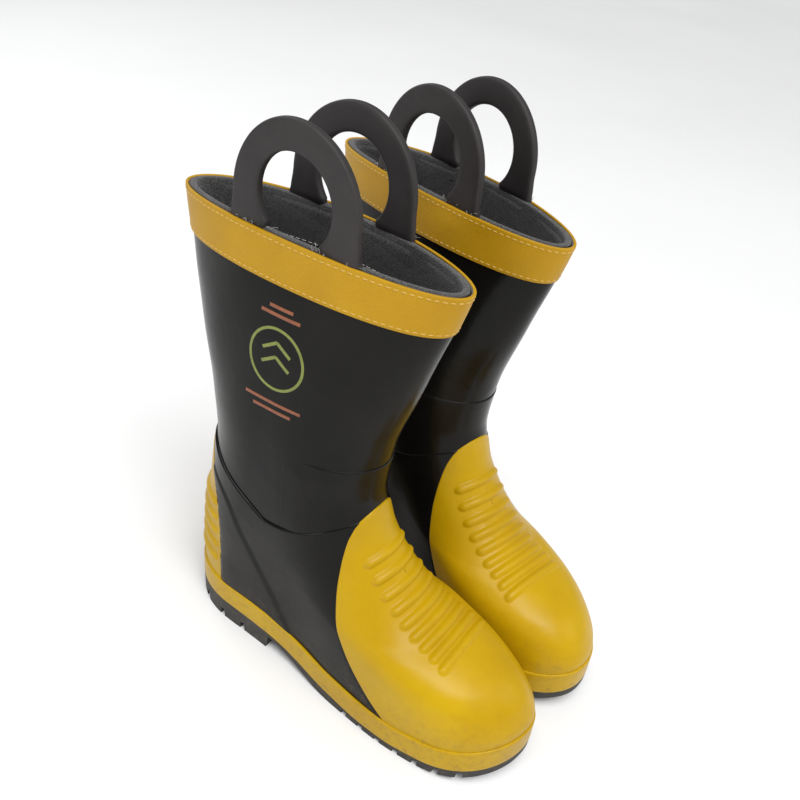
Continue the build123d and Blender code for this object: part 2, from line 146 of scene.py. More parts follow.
# ---- pull loops ----
LOOP_CENTRE = 84.0
LOOP_PLANE = 27.5
LOOP_THICK = 7.0
FLEX_HEIGHT = MOUTH_TOP + 0.5 + LOOP_THICK / 2
ARCH_CENTRE = 14.0
ARCH_SIZE = (46.5, 52.0)
EYE_CENTRE = 19.0
EYE_SIZE = (27.0, 28.5)
LOOP_FOOT = 12.0          # how far a strap goes down below the mouth
FOOT_THINNING = 2.0       # how much thinner it is there
FOOT_SHIFT = 1.2          # how much further out it is there
FOOT_SPREAD = 4.5         # how far each edge of a strap spreads towards its foot
FOOT_SPREAD_DROP = 22.0
FOLLOW = 0.004            # how much a strap's foot curves in with the mouth, per mm

# ---- the mark on the shaft ----
MARK_CENTRE = np.array((86.0, 272.0))
MARK_RADIUS = 21.0
MARK_LIFT = 0.2           # how far paint stands out
MARK_BURIED = 0.3


# ==== the boot's form
def monotone_curve(points):
    """A smooth curve through (x, y) points that doesn't swing past them."""
    x, y = (np.array(column, float) for column in zip(*points))
    run = np.diff(x)
    slope = np.diff(y) / run
    same = slope[1:] * slope[:-1] > 0
    after, before = 2 * run[1:] + run[:-1], run[1:] + 2 * run[:-1]
    rate = np.zeros_like(x)
    low, high = np.where(same, slope[:-1], 1), np.where(same, slope[1:], 1)
    rate[1:-1] = np.where(same, (after + before) / (after / low + before / high), 0)
    for end, (r0, r1), (s0, s1) in ((0, run[:2], slope[:2]), (-1, run[:-3:-1], slope[:-3:-1])):
        value = ((2 * r0 + r1) * s0 - r0 * s1) / (r0 + r1)
        if value * s0 <= 0:
            value = 0.0
        elif s0 * s1 <= 0 and abs(value) > 3 * abs(s0):
            value = 3 * s0
        rate[end] = value

    def curve(at, derivative=False):
        at = np.asarray(at, float)
        k = np.clip(np.searchsorted(x, at, side="right") - 1, 0, len(x) - 2)
        h = run[k]
        s = (at - x[k]) / h
        a, b, ra, rb = y[k], y[k + 1], rate[k] * h, rate[k + 1] * h
        if derivative:
            return ((6 * s * s - 6 * s) * (a - b) + (3 * s * s - 4 * s + 1) * ra
                    + (3 * s * s - 2 * s) * rb) / h
        return ((2 * s ** 3 - 3 * s ** 2 + 1) * a + (s ** 3 - 2 * s ** 2 + s) * ra
                + (3 * s ** 2 - 2 * s ** 3) * b + (s ** 3 - s ** 2) * rb)
    return curve


def by_height(points):
    """A line given as (forward, height) points, as a function of height."""
    return monotone_curve(sorted((height, forward) for forward, height in points))


back_at, front_at = monotone_curve(BACK_LINE), monotone_curve(FRONT_LINE)
outer_at, inner_at = monotone_curve(FOOT_OUTER), monotone_curve(FOOT_INNER)
shaft_at = monotone_curve(SHAFT_HALF_WIDTH)
back_round_at, front_round_at = monotone_curve(BACK_ROUNDING), monotone_curve(FRONT_ROUNDING)
sole_at = monotone_curve(SOLE_LINE)
upper_edge_at = monotone_curve(UPPER_EDGE)
toe_edge_at = by_height(TOE_GUARD_EDGE)
heel_edge_at = by_height(HEEL_GUARD_EDGE)
counter_edge_at = by_height(COUNTER_EDGE)


def smooth_step(value, low, high):
    part = np.clip((value - low) / (high - low), 0.0, 1.0)
    return part * part * (3 - 2 * part)


def end_factor(distance, rounding, fullness):
    part = np.clip(distance / rounding, 0.0, 1.0)
    return np.sqrt(1 - (1 - part) ** fullness)


def mouth_at(forward):
    """Height of the mouth: one long arc."""
    radius = (MOUTH_SPAN ** 2 + MOUTH_DROP ** 2) / (2 * MOUTH_DROP)
    return MOUTH_TOP - radius + np.sqrt(radius ** 2 - (forward - MOUTH_MIDDLE) ** 2)


def outward_at(forward, height, side, depth=0.0):
    """How far out the boot's face is; side is 1 on the outer face and -1 on the inner one."""
    back_move = depth * np.hypot(1, back_at(height, True))
    front_move = depth * np.hypot(1, front_at(height, True))
    back, front = back_at(height) + back_move, front_at(height) - front_move
    shaft_share = smooth_step(height, *FOOT_TO_SHAFT)
    low_share = 1 - shaft_share
    factor = end_factor(forward - back, back_round_at(height) - back_move, 2)
    factor = factor * end_factor(front - forward, front_round_at(height) - front_move,
                                 2 + TOE_FULLNESS * low_share)
    shift = TOE_SHIFT * low_share * smooth_step(forward, TOE_SHIFT_START, front + 30)
    foot = np.where(side > 0, outer_at(forward), inner_at(forward))
    half = foot * low_share + shaft_at(height) * shaft_share
    return shift + side * factor * (half - depth - side * shift)


def surface(turn, height, depth=0.0):
    """Point (forward, outward, up) of the face; turn 0 is the back and pi the front."""
    back = back_at(height) + depth * np.hypot(1, back_at(height, True))
    front = front_at(height) - depth * np.hypot(1, front_at(height, True))
    forward = back + (front - back) * (1 - np.cos(turn)) / 2
    side = np.where(np.sin(turn) >= 0, 1, -1)
    outward = outward_at(forward, height, side, depth)
    return np.stack(np.broadcast_arrays(forward, outward, height + 0.0 * forward), axis=-1)


def height_on(line, turn, depth=0.0, low=0.0, high=360.0):
    """Height where each upright line of the face crosses a line drawn in side view."""
    low, high = np.full_like(turn, low), np.full_like(turn, high)
    for _ in range(40):
        middle = (low + high) / 2
        below = middle < line(surface(turn, middle, depth)[..., 0])
        low, high = np.where(below, middle, low), np.where(below, high, middle)
    return (low + high) / 2


def turn_at(forward, height):
    """Turn, from 0 to pi, at which the face is that far forward."""
    back, front = back_at(height), front_at(height)
    return np.arccos(np.clip(1 - 2 * (forward - back) / (front - back), -1, 1))


# ==== mesh building
def spread(count, length, start_lip=False, end_lip=False):
    """Shares from 0 to 1, with closer rows where an edge of that length has a rounded lip."""
    shares = list(np.linspace(0, 1, count))
    lips = [step / length for step in (0.12, 0.3, 0.55, 0.9, 1.3, 1.9)]
    if start_lip:
        shares += lips
    if end_lip:
        shares += [1 - step for step in lips]
    return np.array(sorted(shares))


def normals_of(points, ring):
    """Unit normals of a grid of points, pointing away from the middle of the grid."""
    if ring:
        along = np.roll(points, -1, axis=1) - np.roll(points, 1, axis=1)
    else:
        along = np.gradient(points, axis=1)
    normal = np.cross(along, np.gradient(points, axis=0))
    size = np.linalg.norm(normal, axis=-1, keepdims=True)
    for _ in range(3):
        near = np.roll(normal, 1, axis=0) + np.roll(normal, -1, axis=0)
        normal = np.where(size < 1e-7, near, normal)
        size = np.linalg.norm(normal, axis=-1, keepdims=True)
    normal = normal / np.maximum(size, 1e-12)
    middle = points.reshape(-1, 3).mean(axis=0)
    if np.sum(normal * (points - middle)) < 0:
        normal = -normal
    return normal


def rounded(distance, reach=LIP):
    """0 at an edge and 1 beyond reach, as a quarter circle."""
    return np.sqrt(1 - (1 - np.clip(distance / reach, 0, 1)) ** 2)


def distance_to(points, edge_points):
    """Distance from each grid point to the nearest of the edge points."""
    tree = KDTree(len(edge_points))
    for index, point in enumerate(edge_points):
        tree.insert(point, index)
    tree.balance()
    flat = [tree.find(point)[2] for point in points.reshape(-1, 3)]
    return np.array(flat).reshape(points.shape[:2])


def link(thing):
    bpy.context.scene.collection.objects.link(thing)


def place(points, side):
    """From the boot's own frame to metres in the pair's frame; side -1 is the right boot."""
    forward, outward, up = points.reshape(-1, 3).T
    x = HEEL_OFFSET + outward * math.cos(TOE_IN) - forward * math.sin(TOE_IN)
    y = -outward * math.sin(TOE_IN) - forward * math.cos(TOE_IN) + CENTRE_SHIFT
    return np.stack((side * x, y, up), axis=-1) * MM


def lengths(points, axis):
    """Distance run along a grid's rows or columns."""
    steps = np.linalg.norm(np.diff(points, axis=axis), axis=-1)
    return np.cumsum(np.insert(steps, 0, 0.0, axis=axis), axis=axis)


class Skin:
    """Points, faces and pattern coordinates of one piece, gathered from grids."""

    def __init__(self):
        self.points, self.faces, self.coords = [], [], []
        self.count = 0

    def grid(self, points, ring=False, closed=False):
        """Adds a grid (rows, columns, 3).

        ring joins the last column to the first, and closed joins the last row to the first.
        """
        rows, columns = points.shape[:2]
        wrapped = np.concatenate((points, points[:, :1]), axis=1) if ring else points
        along = lengths(wrapped, 1)[rows // 2] * MM
        across = lengths(points, 0)[:, columns // 2] * MM
        for row in range(rows if closed else rows - 1):
            below = (row + 1) % rows
            high = across[row + 1] if row + 1 < rows else across[row] + (across[1] - across[0])
            for column in range(columns if ring else columns - 1):
                beside = (column + 1) % columns
                self.faces.append([self.count + row * columns + column,
                                   self.count + row * columns + beside,
                                   self.count + below * columns + beside,
                                   self.count + below * columns + column])
                self.coords += [(along[column], across[row]), (along[column + 1], across[row]),
                                (along[column + 1], high), (along[column], high)]
        self.points.append(points.reshape(-1, 3))
        self.count += rows * columns

    def layer(self, outer, inner, ring=False):
        """Adds a closed layer between two grids of the same shape."""
        if ring:
            self.grid(np.concatenate((outer, inner[::-1]), axis=0), ring=True, closed=True)
            return
        self.grid(np.concatenate((outer, inner[::-1]), axis=0), closed=True)
        for column in (0, -1):
            self.grid(np.stack((outer[:, column], inner[:, column]), axis=1))

    def capped(self, points):
        """Adds a ring grid whose first and last rows are each closed by one face."""
        start = self.count
        self.grid(points, ring=True)
        rows, sides = points.shape[:2]
        for base in (start, start + (rows - 1) * sides):
            self.faces.append([base + k for k in range(sides)])
            self.coords += [(0.0, 0.0)] * sides

    def tube(self, path, radius, sides=6):
        """Adds a closed tube along a path (points, 3), with one radius for each point."""
        path = np.asarray(path, float)
        radius = np.broadcast_to(radius, len(path))
        ahead = np.gradient(path, axis=0)
        ahead /= np.linalg.norm(ahead, axis=1, keepdims=True)
        up = np.array((0.3, 0.2, 0.9))
        first = np.cross(ahead, up)
        first /= np.linalg.norm(first, axis=1, keepdims=True)
        second = np.cross(ahead, first)
        angles = np.linspace(0, 2 * math.pi, sides, endpoint=False)
        rings = [path + radius[:, None] * (math.cos(a) * first + math.sin(a) * second)
                 for a in angles]
        self.capped(np.stack(rings, axis=1))


def one_layer(outer, inner, ring=False):
    skin = Skin()
    skin.layer(outer, inner, ring)
    return skin


def closed_ring(rows):
    skin = Skin()
    skin.grid(np.stack(rows), ring=True, closed=True)
    return skin


def build(name, skin, side, body, material, replaced=(), flat_angle=None):
    """Makes the Blender piece of one boot from a skin, and ties it to its body."""
    full_name = SIDE_NAMES[side] + "_" + name
    points = place(np.concatenate(skin.points), side)
    mesh = bpy.data.meshes.new(full_name)
    mesh.from_pydata(points.tolist(), [], skin.faces)
    layer = mesh.uv_layers.new(name="cloth")
    layer.data.foreach_set("uv", np.array(skin.coords, dtype=np.float32).ravel())
    work = bmesh.new()
    work.from_mesh(mesh)
    bmesh.ops.remove_doubles(work, verts=work.verts, dist=3e-6)
    bmesh.ops.recalc_face_normals(work, faces=work.faces)
    work.to_mesh(mesh)
    work.free()
    mesh.shade_smooth()
    if flat_angle:
        mesh.set_sharp_from_angle(angle=math.radians(flat_angle))
    mesh.materials.append(material)
    piece = bpy.data.objects.new(full_name, mesh)
    link(piece)
    if body:
        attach(piece, body)
    if replaced:
        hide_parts(*[SIDE_NAMES[side] + "_" + node for node in replaced])
    return piece


# ==== materials
class Shader:
    """A small helper that wires one material's nodes."""

    def __init__(self, name, roughness, **sockets):
        self.material = bpy.data.materials.new(name)
        self.material.use_nodes = True
        self.nodes = self.material.node_tree.nodes
        self.links = self.material.node_tree.links
        self.surface = self.nodes["Principled BSDF"]
        self.fill(self.surface, Roughness=roughness, **sockets)
        self.place = self.add("TexCoord").outputs["Object"]
        self.cloth = self.add("UVMap")
        self.cloth.uv_map = "cloth"

    def feed(self, socket, value):
        """Links an output to a socket, or sets a plain value on it."""
        if isinstance(value, bpy.types.NodeSocket):
            self.links.new(value, socket)
        else:
            socket.default_value = value

    def fill(self, node, **values):
        for name, value in values.items():
            self.feed(node.inputs[name.replace("_", " ")], value)
        return node

    def add(self, kind, **values):
        return self.fill(self.nodes.new("ShaderNode" + kind), **values)

    def noise(self, scale, detail=4.0, roughness=0.55, stretch=None):
        source = self.place
        if stretch:
            source = self.add("Mapping", Vector=source, Scale=stretch).outputs["Vector"]
        return self.add("TexNoise", Vector=source, Scale=scale, Detail=detail,
                        Roughness=roughness).outputs["Fac"]

    def ramp(self, value, stops):
        node = self.add("ValToRGB", Fac=value)
        elements = node.color_ramp.elements
        while len(elements) < len(stops):
            elements.new(0.5)
        for element, (position, colour) in zip(elements, stops):
            element.position = position
            element.color = (*colour, 1.0)
        return node.outputs["Color"]

    def mask(self, value, low, high):
        """Black up to low, and white from high on."""
        return self.ramp(value, [(low, (0, 0, 0)), (high, (1, 1, 1))])

    def math(self, operation, *values):
        node = self.add("Math")
        node.operation = operation
        for socket, value in zip(node.inputs, values):
            self.feed(socket, value)
        return node.outputs["Value"]

    def height(self):
        return self.add("SeparateXYZ", Vector=self.place).outputs["Z"]

    def clamped(self, value):
        return self.add("Clamp", Value=value).outputs["Result"]

    def wave(self, along, pitch):
        """A smooth wave from 0 to 1 that repeats every pitch metres of a coordinate."""
        turn = self.math("MULTIPLY", along, 2 * math.pi / pitch)
        return self.math("MULTIPLY_ADD", self.math("SINE", turn), 0.5, 0.5)

    def weave(self, warp, weft):
        """Height of a plain weave from the piece's pattern coordinates."""
        parts = self.add("SeparateXYZ", Vector=self.cloth.outputs["UV"]).outputs
        across, up = self.wave(parts["X"], warp), self.wave(parts["Y"], weft)
        return self.math("ADD", self.math("MULTIPLY", across, up),
                         self.math("MULTIPLY", self.math("SUBTRACT", 1.0, across),
                                   self.math("SUBTRACT", 1.0, up)))

    def mix(self, share, first, second):
        """Mixes two colours; each is an output or a plain (red, green, blue)."""
        node = self.add("Mix", Factor=share)
        node.data_type = "RGBA"
        # sockets 6 and 7 are the two colours, and output 2 is their mix
        for index, value in ((6, first), (7, second)):
            self.feed(node.inputs[index], (*value, 1.0) if isinstance(value, tuple) else value)
        return node.outputs[2]

    def colour(self, value):
        self.links.new(value, self.surface.inputs["Base Color"])

    def rough(self, value, low, high):
        node = self.add("MapRange", Value=value, To_Min=low, To_Max=high)
        self.links.new(node.outputs["Result"], self.surface.inputs["Roughness"])

    def bump(self, *layers):
        """Each layer is (height, distance in metres, strength)."""
        normal = None
        for height, distance, strength in layers:
            node = self.add("Bump", Height=height, Distance=distance, Strength=strength)
            if normal:
                self.links.new(normal, node.inputs["Normal"])
            normal = node.outputs["Normal"]
        self.links.new(normal, self.surface.inputs["Normal"])


GRIME_HEIGHT = 0.07       # metres above the ground over which dirt thins out
GRIME = (0.12, 0.085, 0.04)


def rubber(name, dark, light, low_rough, high_rough, dust, gloss=0.5):
    """Moulded rubber: cloudy colour, uneven gloss, fine grain and a little dust in patches."""
    shader = Shader(name, 0.4, IOR=1.5, Specular_IOR_Level=gloss)
    cloud = shader.noise(14.0, 5.0)
    tone = shader.ramp(cloud, [(0.3, dark), (0.7, light)])
    patches = shader.mask(shader.noise(38.0, 6.0, 0.65), 0.52, 0.8)
    share = shader.math("MULTIPLY", patches, 0.22)
    low = shader.math("MULTIPLY_ADD", shader.height(), -1 / GRIME_HEIGHT, 1.0)
    specks = shader.mask(shader.noise(190.0, 6.0, 0.7), 0.5, 0.66)
    soiled = shader.math("MULTIPLY", shader.math("MULTIPLY", shader.clamped(low), specks), 0.4)
    shader.colour(shader.mix(soiled, shader.mix(share, tone, dust), GRIME))
    shader.rough(shader.noise(55.0, 6.0, 0.7), low_rough, high_rough)
    scratches = shader.mask(shader.noise(90.0, 8.0, 0.75, stretch=(5.0, 5.0, 0.5)), 0.6, 0.68)
    shader.bump((shader.noise(45.0, 3.0), 0.0012, 0.28), (shader.noise(900.0, 2.0), 0.0001, 0.35),
                (scratches, 0.0001, 0.15))
    return shader.material


def band_fabric():
    """Coated woven tape: a fine plain weave under a satin coat."""
    shader = Shader("band_tape", 0.5, IOR=1.48, Specular_IOR_Level=0.25)
    weave = shader.weave(0.0015, 0.0015)
    cloud = shader.noise(30.0, 5.0)
    tone = shader.ramp(cloud, [(0.3, (0.43, 0.222, 0.003)), (0.7, (0.50, 0.272, 0.004))])
    shader.colour(shader.mix(shader.math("MULTIPLY", weave, 0.35), tone, (0.60, 0.35, 0.008)))
    shader.rough(shader.noise(60.0, 5.0, 0.7), 0.34, 0.55)
    shader.bump((weave, 0.00025, 0.55), (cloud, 0.001, 0.2))
    return shader.material


def tweed(name, dark, light, pitch):
    """Woven lining of dark and light yarns."""
    shader = Shader(name, 0.9, Sheen_Weight=0.25, Sheen_Roughness=0.5)
    weave = shader.weave(pitch, pitch)
    yarn = shader.noise(1250.0, 2.0, 0.5)
    specks = shader.ramp(yarn, [(0.36, dark), (0.64, light)])
    shader.colour(shader.mix(shader.math("MULTIPLY", weave, 0.65), specks, dark))
    shader.bump((weave, 0.0005, 0.8), (yarn, 0.0003, 0.4), (shader.noise(60.0), 0.001, 0.3))
    return shader.material


def fabric(name, low, high, scale, roughness=0.9):
    """A matte fibrous surface: felt, thread, board or insulation."""
    shader = Shader(name, roughness, Sheen_Weight=0.15)
    grain = shader.noise(scale, 6.0, 0.65)
    shader.colour(shader.ramp(grain, [(0.3, low), (0.7, high)]))
    shader.bump((grain, 0.0004, 0.5))
    return shader.material


def loop_rubber():
    """Matt moulded strap with faint flow marks and rubbed edges."""
    shader = Shader("strap_rubber", 0.6, IOR=1.45)
    cloud = shader.noise(28.0, 6.0, 0.6)
    tone = shader.ramp(cloud, [(0.3, (0.016, 0.0135, 0.0135)), (0.72, (0.030, 0.025, 0.0245))])
    edge = shader.add("NewGeometry").outputs["Pointiness"]
    rubbed = shader.mask(edge, 0.52, 0.6)
    shader.colour(shader.mix(shader.math("MULTIPLY", rubbed, 0.3), tone, (0.07, 0.063, 0.062)))
    shader.rough(shader.noise(80.0, 5.0, 0.7), 0.48, 0.72)
    shader.bump((shader.noise(120.0, 4.0), 0.0004, 0.35), (shader.noise(1100.0), 0.00008, 0.4))
    return shader.material


def steel():
    """Bare sheet steel with fine rolling marks."""
    shader = Shader("sheet_steel", 0.35, Metallic=1.0)
    shader.colour(shader.ramp(shader.noise(50.0), [(0.3, (0.42, 0.43, 0.44)),
                                                  (0.7, (0.56, 0.56, 0.57))]))
    lines = shader.noise(300.0, 2.0, stretch=(1.0, 0.08, 1.0))
    shader.rough(lines, 0.25, 0.5)
    shader.bump((lines, 0.0001, 0.3))
    return shader.material


BLACK = rubber("black_rubber_satin", (0.0045, 0.0043, 0.0038), (0.0085, 0.0078, 0.0066), 0.14, 0.28,
               (0.016, 0.014, 0.0115), gloss=0.15)
YELLOW = rubber("yellow_rubber_satin", (0.46, 0.27, 0.001), (0.555, 0.345, 0.002), 0.28, 0.42,
                (0.35, 0.2, 0.004), gloss=0.22)
SOLE = rubber("sole_rubber", (0.013, 0.0125, 0.012), (0.026, 0.024, 0.022), 0.5, 0.75,
              (0.1, 0.09, 0.075))
BAND_TAPE = band_fabric()
STRAP = loop_rubber()
LINING_CLOTH = tweed("lining_cloth", (0.014, 0.0135, 0.0145), (0.115, 0.11, 0.115), 0.0018)
FACING_CLOTH = tweed("facing_cloth", (0.016, 0.0155, 0.0155), (0.15, 0.143, 0.14), 0.0014)
THREAD_YARN = fabric("stitch_thread", (0.5, 0.28, 0.03), (0.75, 0.5, 0.12), 1500.0, 0.7)
PALE_YARN = fabric("frayed_yarn", (0.32, 0.31, 0.29), (0.55, 0.54, 0.52), 900.0)
FELT = fabric("felt_insole", (0.06, 0.055, 0.05), (0.16, 0.15, 0.14), 500.0)
INSULATION = fabric("insulation_felt", (0.05, 0.048, 0.045), (0.11, 0.105, 0.1), 400.0)
FOAM = fabric("foam_rubber", (0.03, 0.03, 0.03), (0.07, 0.068, 0.065), 700.0)
BOARD = fabric("fibre_board", (0.25, 0.18, 0.1), (0.4, 0.3, 0.18), 600.0)
STEEL = steel()
PRINT_GREEN = fabric("print_green", (0.15, 0.18, 0.02), (0.22, 0.25, 0.035), 200.0, 0.5)
PRINT_RUST = fabric("print_rust", (0.2, 0.05, 0.014), (0.3, 0.085, 0.022), 200.0, 0.5)

NODE_MATERIALS = (
    (SOLE, "outsole"),
    (YELLOW, "welt_band toe_guard heel_guard"),
    (BLACK, "upper_shell vamp_overlay ankle_overlay"),
    (STRAP, "pull_loop_outer pull_loop_inner loop_anchor_outer loop_anchor_inner"),
    (BAND_TAPE, "topline_band"),
    (THREAD_YARN, "band_stitch_upper band_stitch_lower"),
    (LINING_CLOTH, "lining"),
    (FACING_CLOTH, "facing_strip"),
    (STEEL, "steel_toe_cap steel_midsole"),
    (FOAM, "midsole_filler toe_cap_edge_strip"),
    (BOARD, "insole_board heel_counter"),
    (FELT, "footbed"),
    (INSULATION, "thermal_layer"),
)


# ==== the pieces
COLUMNS = 260
turns = np.linspace(-math.pi, math.pi, COLUMNS, endpoint=False)


def ring_rows(low, high, shares, depth=0.0):
    """Rows of the face between two heights given for each column."""
    heights = low + (high - low) * shares[:, None]
    return surface(turns + 0.0 * heights, heights, depth)


def unevenness(points):
    """The slight, slow hand-made waviness of dipped and pressed rubber, in millimetres."""
    forward, outward, up = np.moveaxis(points, -1, 0)
    return (0.22 * np.sin(forward / 17 + outward / 23) * np.sin(up / 21 + 1.3)
            + 0.14 * np.sin(forward / 9.1 - up / 13.7 + 2.0) * np.sin(outward / 11 + up / 31))


def wall_unevenness(points):
    """The wall's waviness, which dies out near the sole and near the mouth."""
    from_sole = points[..., 2] - SHELL_BOTTOM
    from_mouth = mouth_at(points[..., 0]) - points[..., 2]
    return WAVINESS * unevenness(points) * rounded(from_sole, 40) * rounded(from_mouth, 60)


def shell_skin():
    """The black outer wall, from behind the welt to the mouth."""
    low = np.full(COLUMNS, SHELL_BOTTOM)
    high = height_on(mouth_at, turns) - SHELL_TOP_DROP
    rows = ring_rows(low, high, np.linspace(0, 1, 150))
    normal = normals_of(rows, ring=True)
    outer = rows + normal * wall_unevenness(rows)[..., None]
    return one_layer(outer, rows - normal * SHELL_THICK, ring=True)


def vamp_overlay_skin():
    """The black reinforcement of the foot, with the heel counter showing through as a soft step."""
    low = height_on(lambda forward: sole_at(forward) + PATCH_START, turns)
    high = height_on(upper_edge_at, turns, low=100.0, high=240.0)
    rows = ring_rows(low, high, spread(110, 130.0, end_lip=True))
    normal = normals_of(rows, ring=True)
    lip = rounded(distance_to(rows, rows[-1]))
    forward, height = rows[..., 0], rows[..., 2]
    behind = counter_edge_at(np.clip(height, 20, COUNTER_TOP)) - forward
    counter = smooth_step(behind, -2.5, 2.5) * smooth_step(COUNTER_TOP - height, 0, 6)
    # flat under the two guards, so that it never shows through them
    clear = smooth_step(forward - heel_edge_at(np.clip(height, 24, 178)), -4, -1)
    clear = clear * smooth_step(toe_edge_at(np.clip(height, 18, 172)) - forward, -4, -1)
    outer = rows + normal * (((VAMP_OVERLAY + COUNTER_RISE * counter) * lip
                              + unevenness(rows) * WAVINESS) * clear)[..., None]
    return one_layer(outer, rows - normal * OVERLAY_BURIED, ring=True)


def ankle_overlay_skin():
    """The black reinforcement round the front of the ankle, with rounded upper corners."""
    bottom, top = ANKLE_PATCH
    heights = bottom + (top - bottom) * spread(70, top - bottom, end_lip=True)
    above = np.clip(heights - (top - PATCH_CORNER), 0, PATCH_CORNER)
    back = ANKLE_PATCH_BACK + PATCH_CORNER - np.sqrt(PATCH_CORNER ** 2 - above ** 2)
    reach = math.pi - turn_at(back, heights)
    shares = 2 * spread(150, 130.0, start_lip=True, end_lip=True) - 1
    grid_turns = math.pi + shares[None, :] * reach[:, None]
    rows = surface(grid_turns, heights[:, None] + 0.0 * grid_turns)
    normal = normals_of(rows, ring=False)
    behind = np.concatenate((rows[:, 0], rows[:, -1]))
    lip = (rounded(distance_to(rows, rows[-1]))
           * smooth_step(distance_to(rows, behind), 0, ANKLE_PATCH_FADE))
    outer = rows + normal * (ANKLE_OVERLAY * lip + unevenness(rows) * WAVINESS)[..., None]
    return one_layer(outer, rows - normal * OVERLAY_BURIED)


def welt_band_skin():
    """The strip round the sole: a rounded section carried round the foot."""
    corner = np.linspace(0, math.pi / 2, 6)
    section = [(-0.5, 0.2), (1.5, 0.0)]
    section += [(WELT - 0.8 + 0.8 * math.sin(a), 0.8 - 0.8 * math.cos(a)) for a in corner]
    section += [(WELT, rise) for rise in (4.0, 7.0, 10.0, 13.0, 16.0)]
    section += [(WELT - 1.3 + 1.3 * math.cos(a), WELT_HEIGHT - 1.3 + 1.3 * math.sin(a))
                for a in corner]
    section += [(0.8, WELT_HEIGHT - 0.2), (-0.5, WELT_HEIGHT - 0.5)]
    rows = []
    for out, rise in section:
        heights = height_on(lambda forward: sole_at(forward) + rise, turns, -out)
        rows.append(surface(turns, heights, -out))
    return closed_ring(rows)


def ridge_height(across, beyond, half_width, height):
    """Height of a rounded ridge whose ends are rounded too."""
    reach = np.hypot(across, np.maximum(beyond, 0.0)) / half_width
    return height * (1 - np.clip(reach, 0, 1) ** 2) ** 1.25


def toe_guard_edges():
    """Heights of the guard's lower back corner, its toe tip and its apex."""
    heights = np.linspace(18, 171, 2000)
    corner = heights[np.argmin(np.abs(heights - sole_at(toe_edge_at(heights)) - PATCH_START))]
    tall = heights[heights > 140]
    apex = tall[np.argmin(np.abs(toe_edge_at(tall) - front_at(tall)))]
    low = np.linspace(25, 60, 2000)
    tip = low[np.argmin(np.abs(low - sole_at(front_at(low)) - PATCH_START))]
    return corner, tip, apex


def toe_guard_skin():
    """The toe guard: a patch stretched in side view between its four edges.

    Its points are (distance behind the front outline, height) until the patch is filled in.
    """
    corner, tip, apex = toe_guard_edges()
    s = spread(300, 250.0, end_lip=True)[:, None]
    angle = math.pi * spread(260, 150.0, start_lip=True, end_lip=True)
    v = np.sin(angle)[None, :]
    v[:, 0] = v[:, -1] = 0.0

    def edge_point(height):
        return np.stack((front_at(height) - toe_edge_at(height), height), axis=-1)

    fine = np.linspace(tip, apex, 4000)
    run = np.concatenate(([0], np.cumsum(np.hypot(np.diff(fine), np.diff(front_at(fine))))))
    front_height = np.interp(s * run[-1], run, fine)
    front = np.stack((0.0 * front_height, front_height), axis=-1)
    side_height = corner + (TOE_GUARD_SHOULDER - corner) * s ** 1.1
    side = edge_point(side_height)
    start, end = toe_edge_at(corner), front_at(tip)
    low_forward = start + (end - start) * v
    low_height = sole_at(low_forward) + PATCH_START
    low = np.stack((np.maximum(front_at(low_height) - low_forward, 0), low_height), axis=-1)
    high = edge_point(TOE_GUARD_SHOULDER + (apex - TOE_GUARD_SHOULDER) * v)
    v3, s3 = v[..., None], s[..., None]
    flat = ((1 - v3) * side + v3 * front + (1 - s3) * low + s3 * high
            - (1 - s3) * (1 - v3) * low[:, :1] - (1 - s3) * v3 * np.array((0.0, tip))
            - s3 * (1 - v3) * high[:, :1] - s3 * v3 * np.array((0.0, apex)))
    height = flat[..., 1]
    forward = front_at(height) - np.maximum(flat[..., 0], 0)
    face = np.where(angle <= math.pi / 2, 1, -1)[None, :]
    rows = np.stack((forward, outward_at(forward, height, face), height), axis=-1)
    normal = normals_of(rows, ring=False)

    edge = np.concatenate((rows[-1], rows[:, 0], rows[:, -1]))
    distance = distance_to(rows, edge)
    rise = GUARD * rounded(distance) + unevenness(rows) * GUARD_WAVINESS
    middle_line = TOE_SHIFT * (1 - smooth_step(height, *FOOT_TO_SHAFT)) * 0.5
    line = RIDGE_END - RIDGE_START
    ridges = np.zeros_like(rise)
    for step in range(TOE_RIDGES):
        share = step / (TOE_RIDGES - 1)
        sag = 4 * RIDGE_BOW * share * (1 - share)
        middle = RIDGE_START + line * share - np.array((0, sag))
        ahead = np.array((line[0], line[1] - 4 * RIDGE_BOW * (1 - 2 * share)))
        ahead /= np.linalg.norm(ahead)
        across = (forward - middle[0]) * ahead[0] + (height - middle[1]) * ahead[1]
        reach = RIDGE_REACH[0] + (RIDGE_REACH[1] - RIDGE_REACH[0]) * share
        beyond = np.abs(rows[..., 1] - middle_line) - (reach - RIDGE_HALF_WIDTH)
        ridges = np.maximum(ridges, ridge_height(across, beyond, RIDGE_HALF_WIDTH, RIDGE))
    outer = rows + normal * (rise + ridges * smooth_step(distance, 1.5, 5))[..., None]
    return one_layer(outer, rows - normal * BURIED)


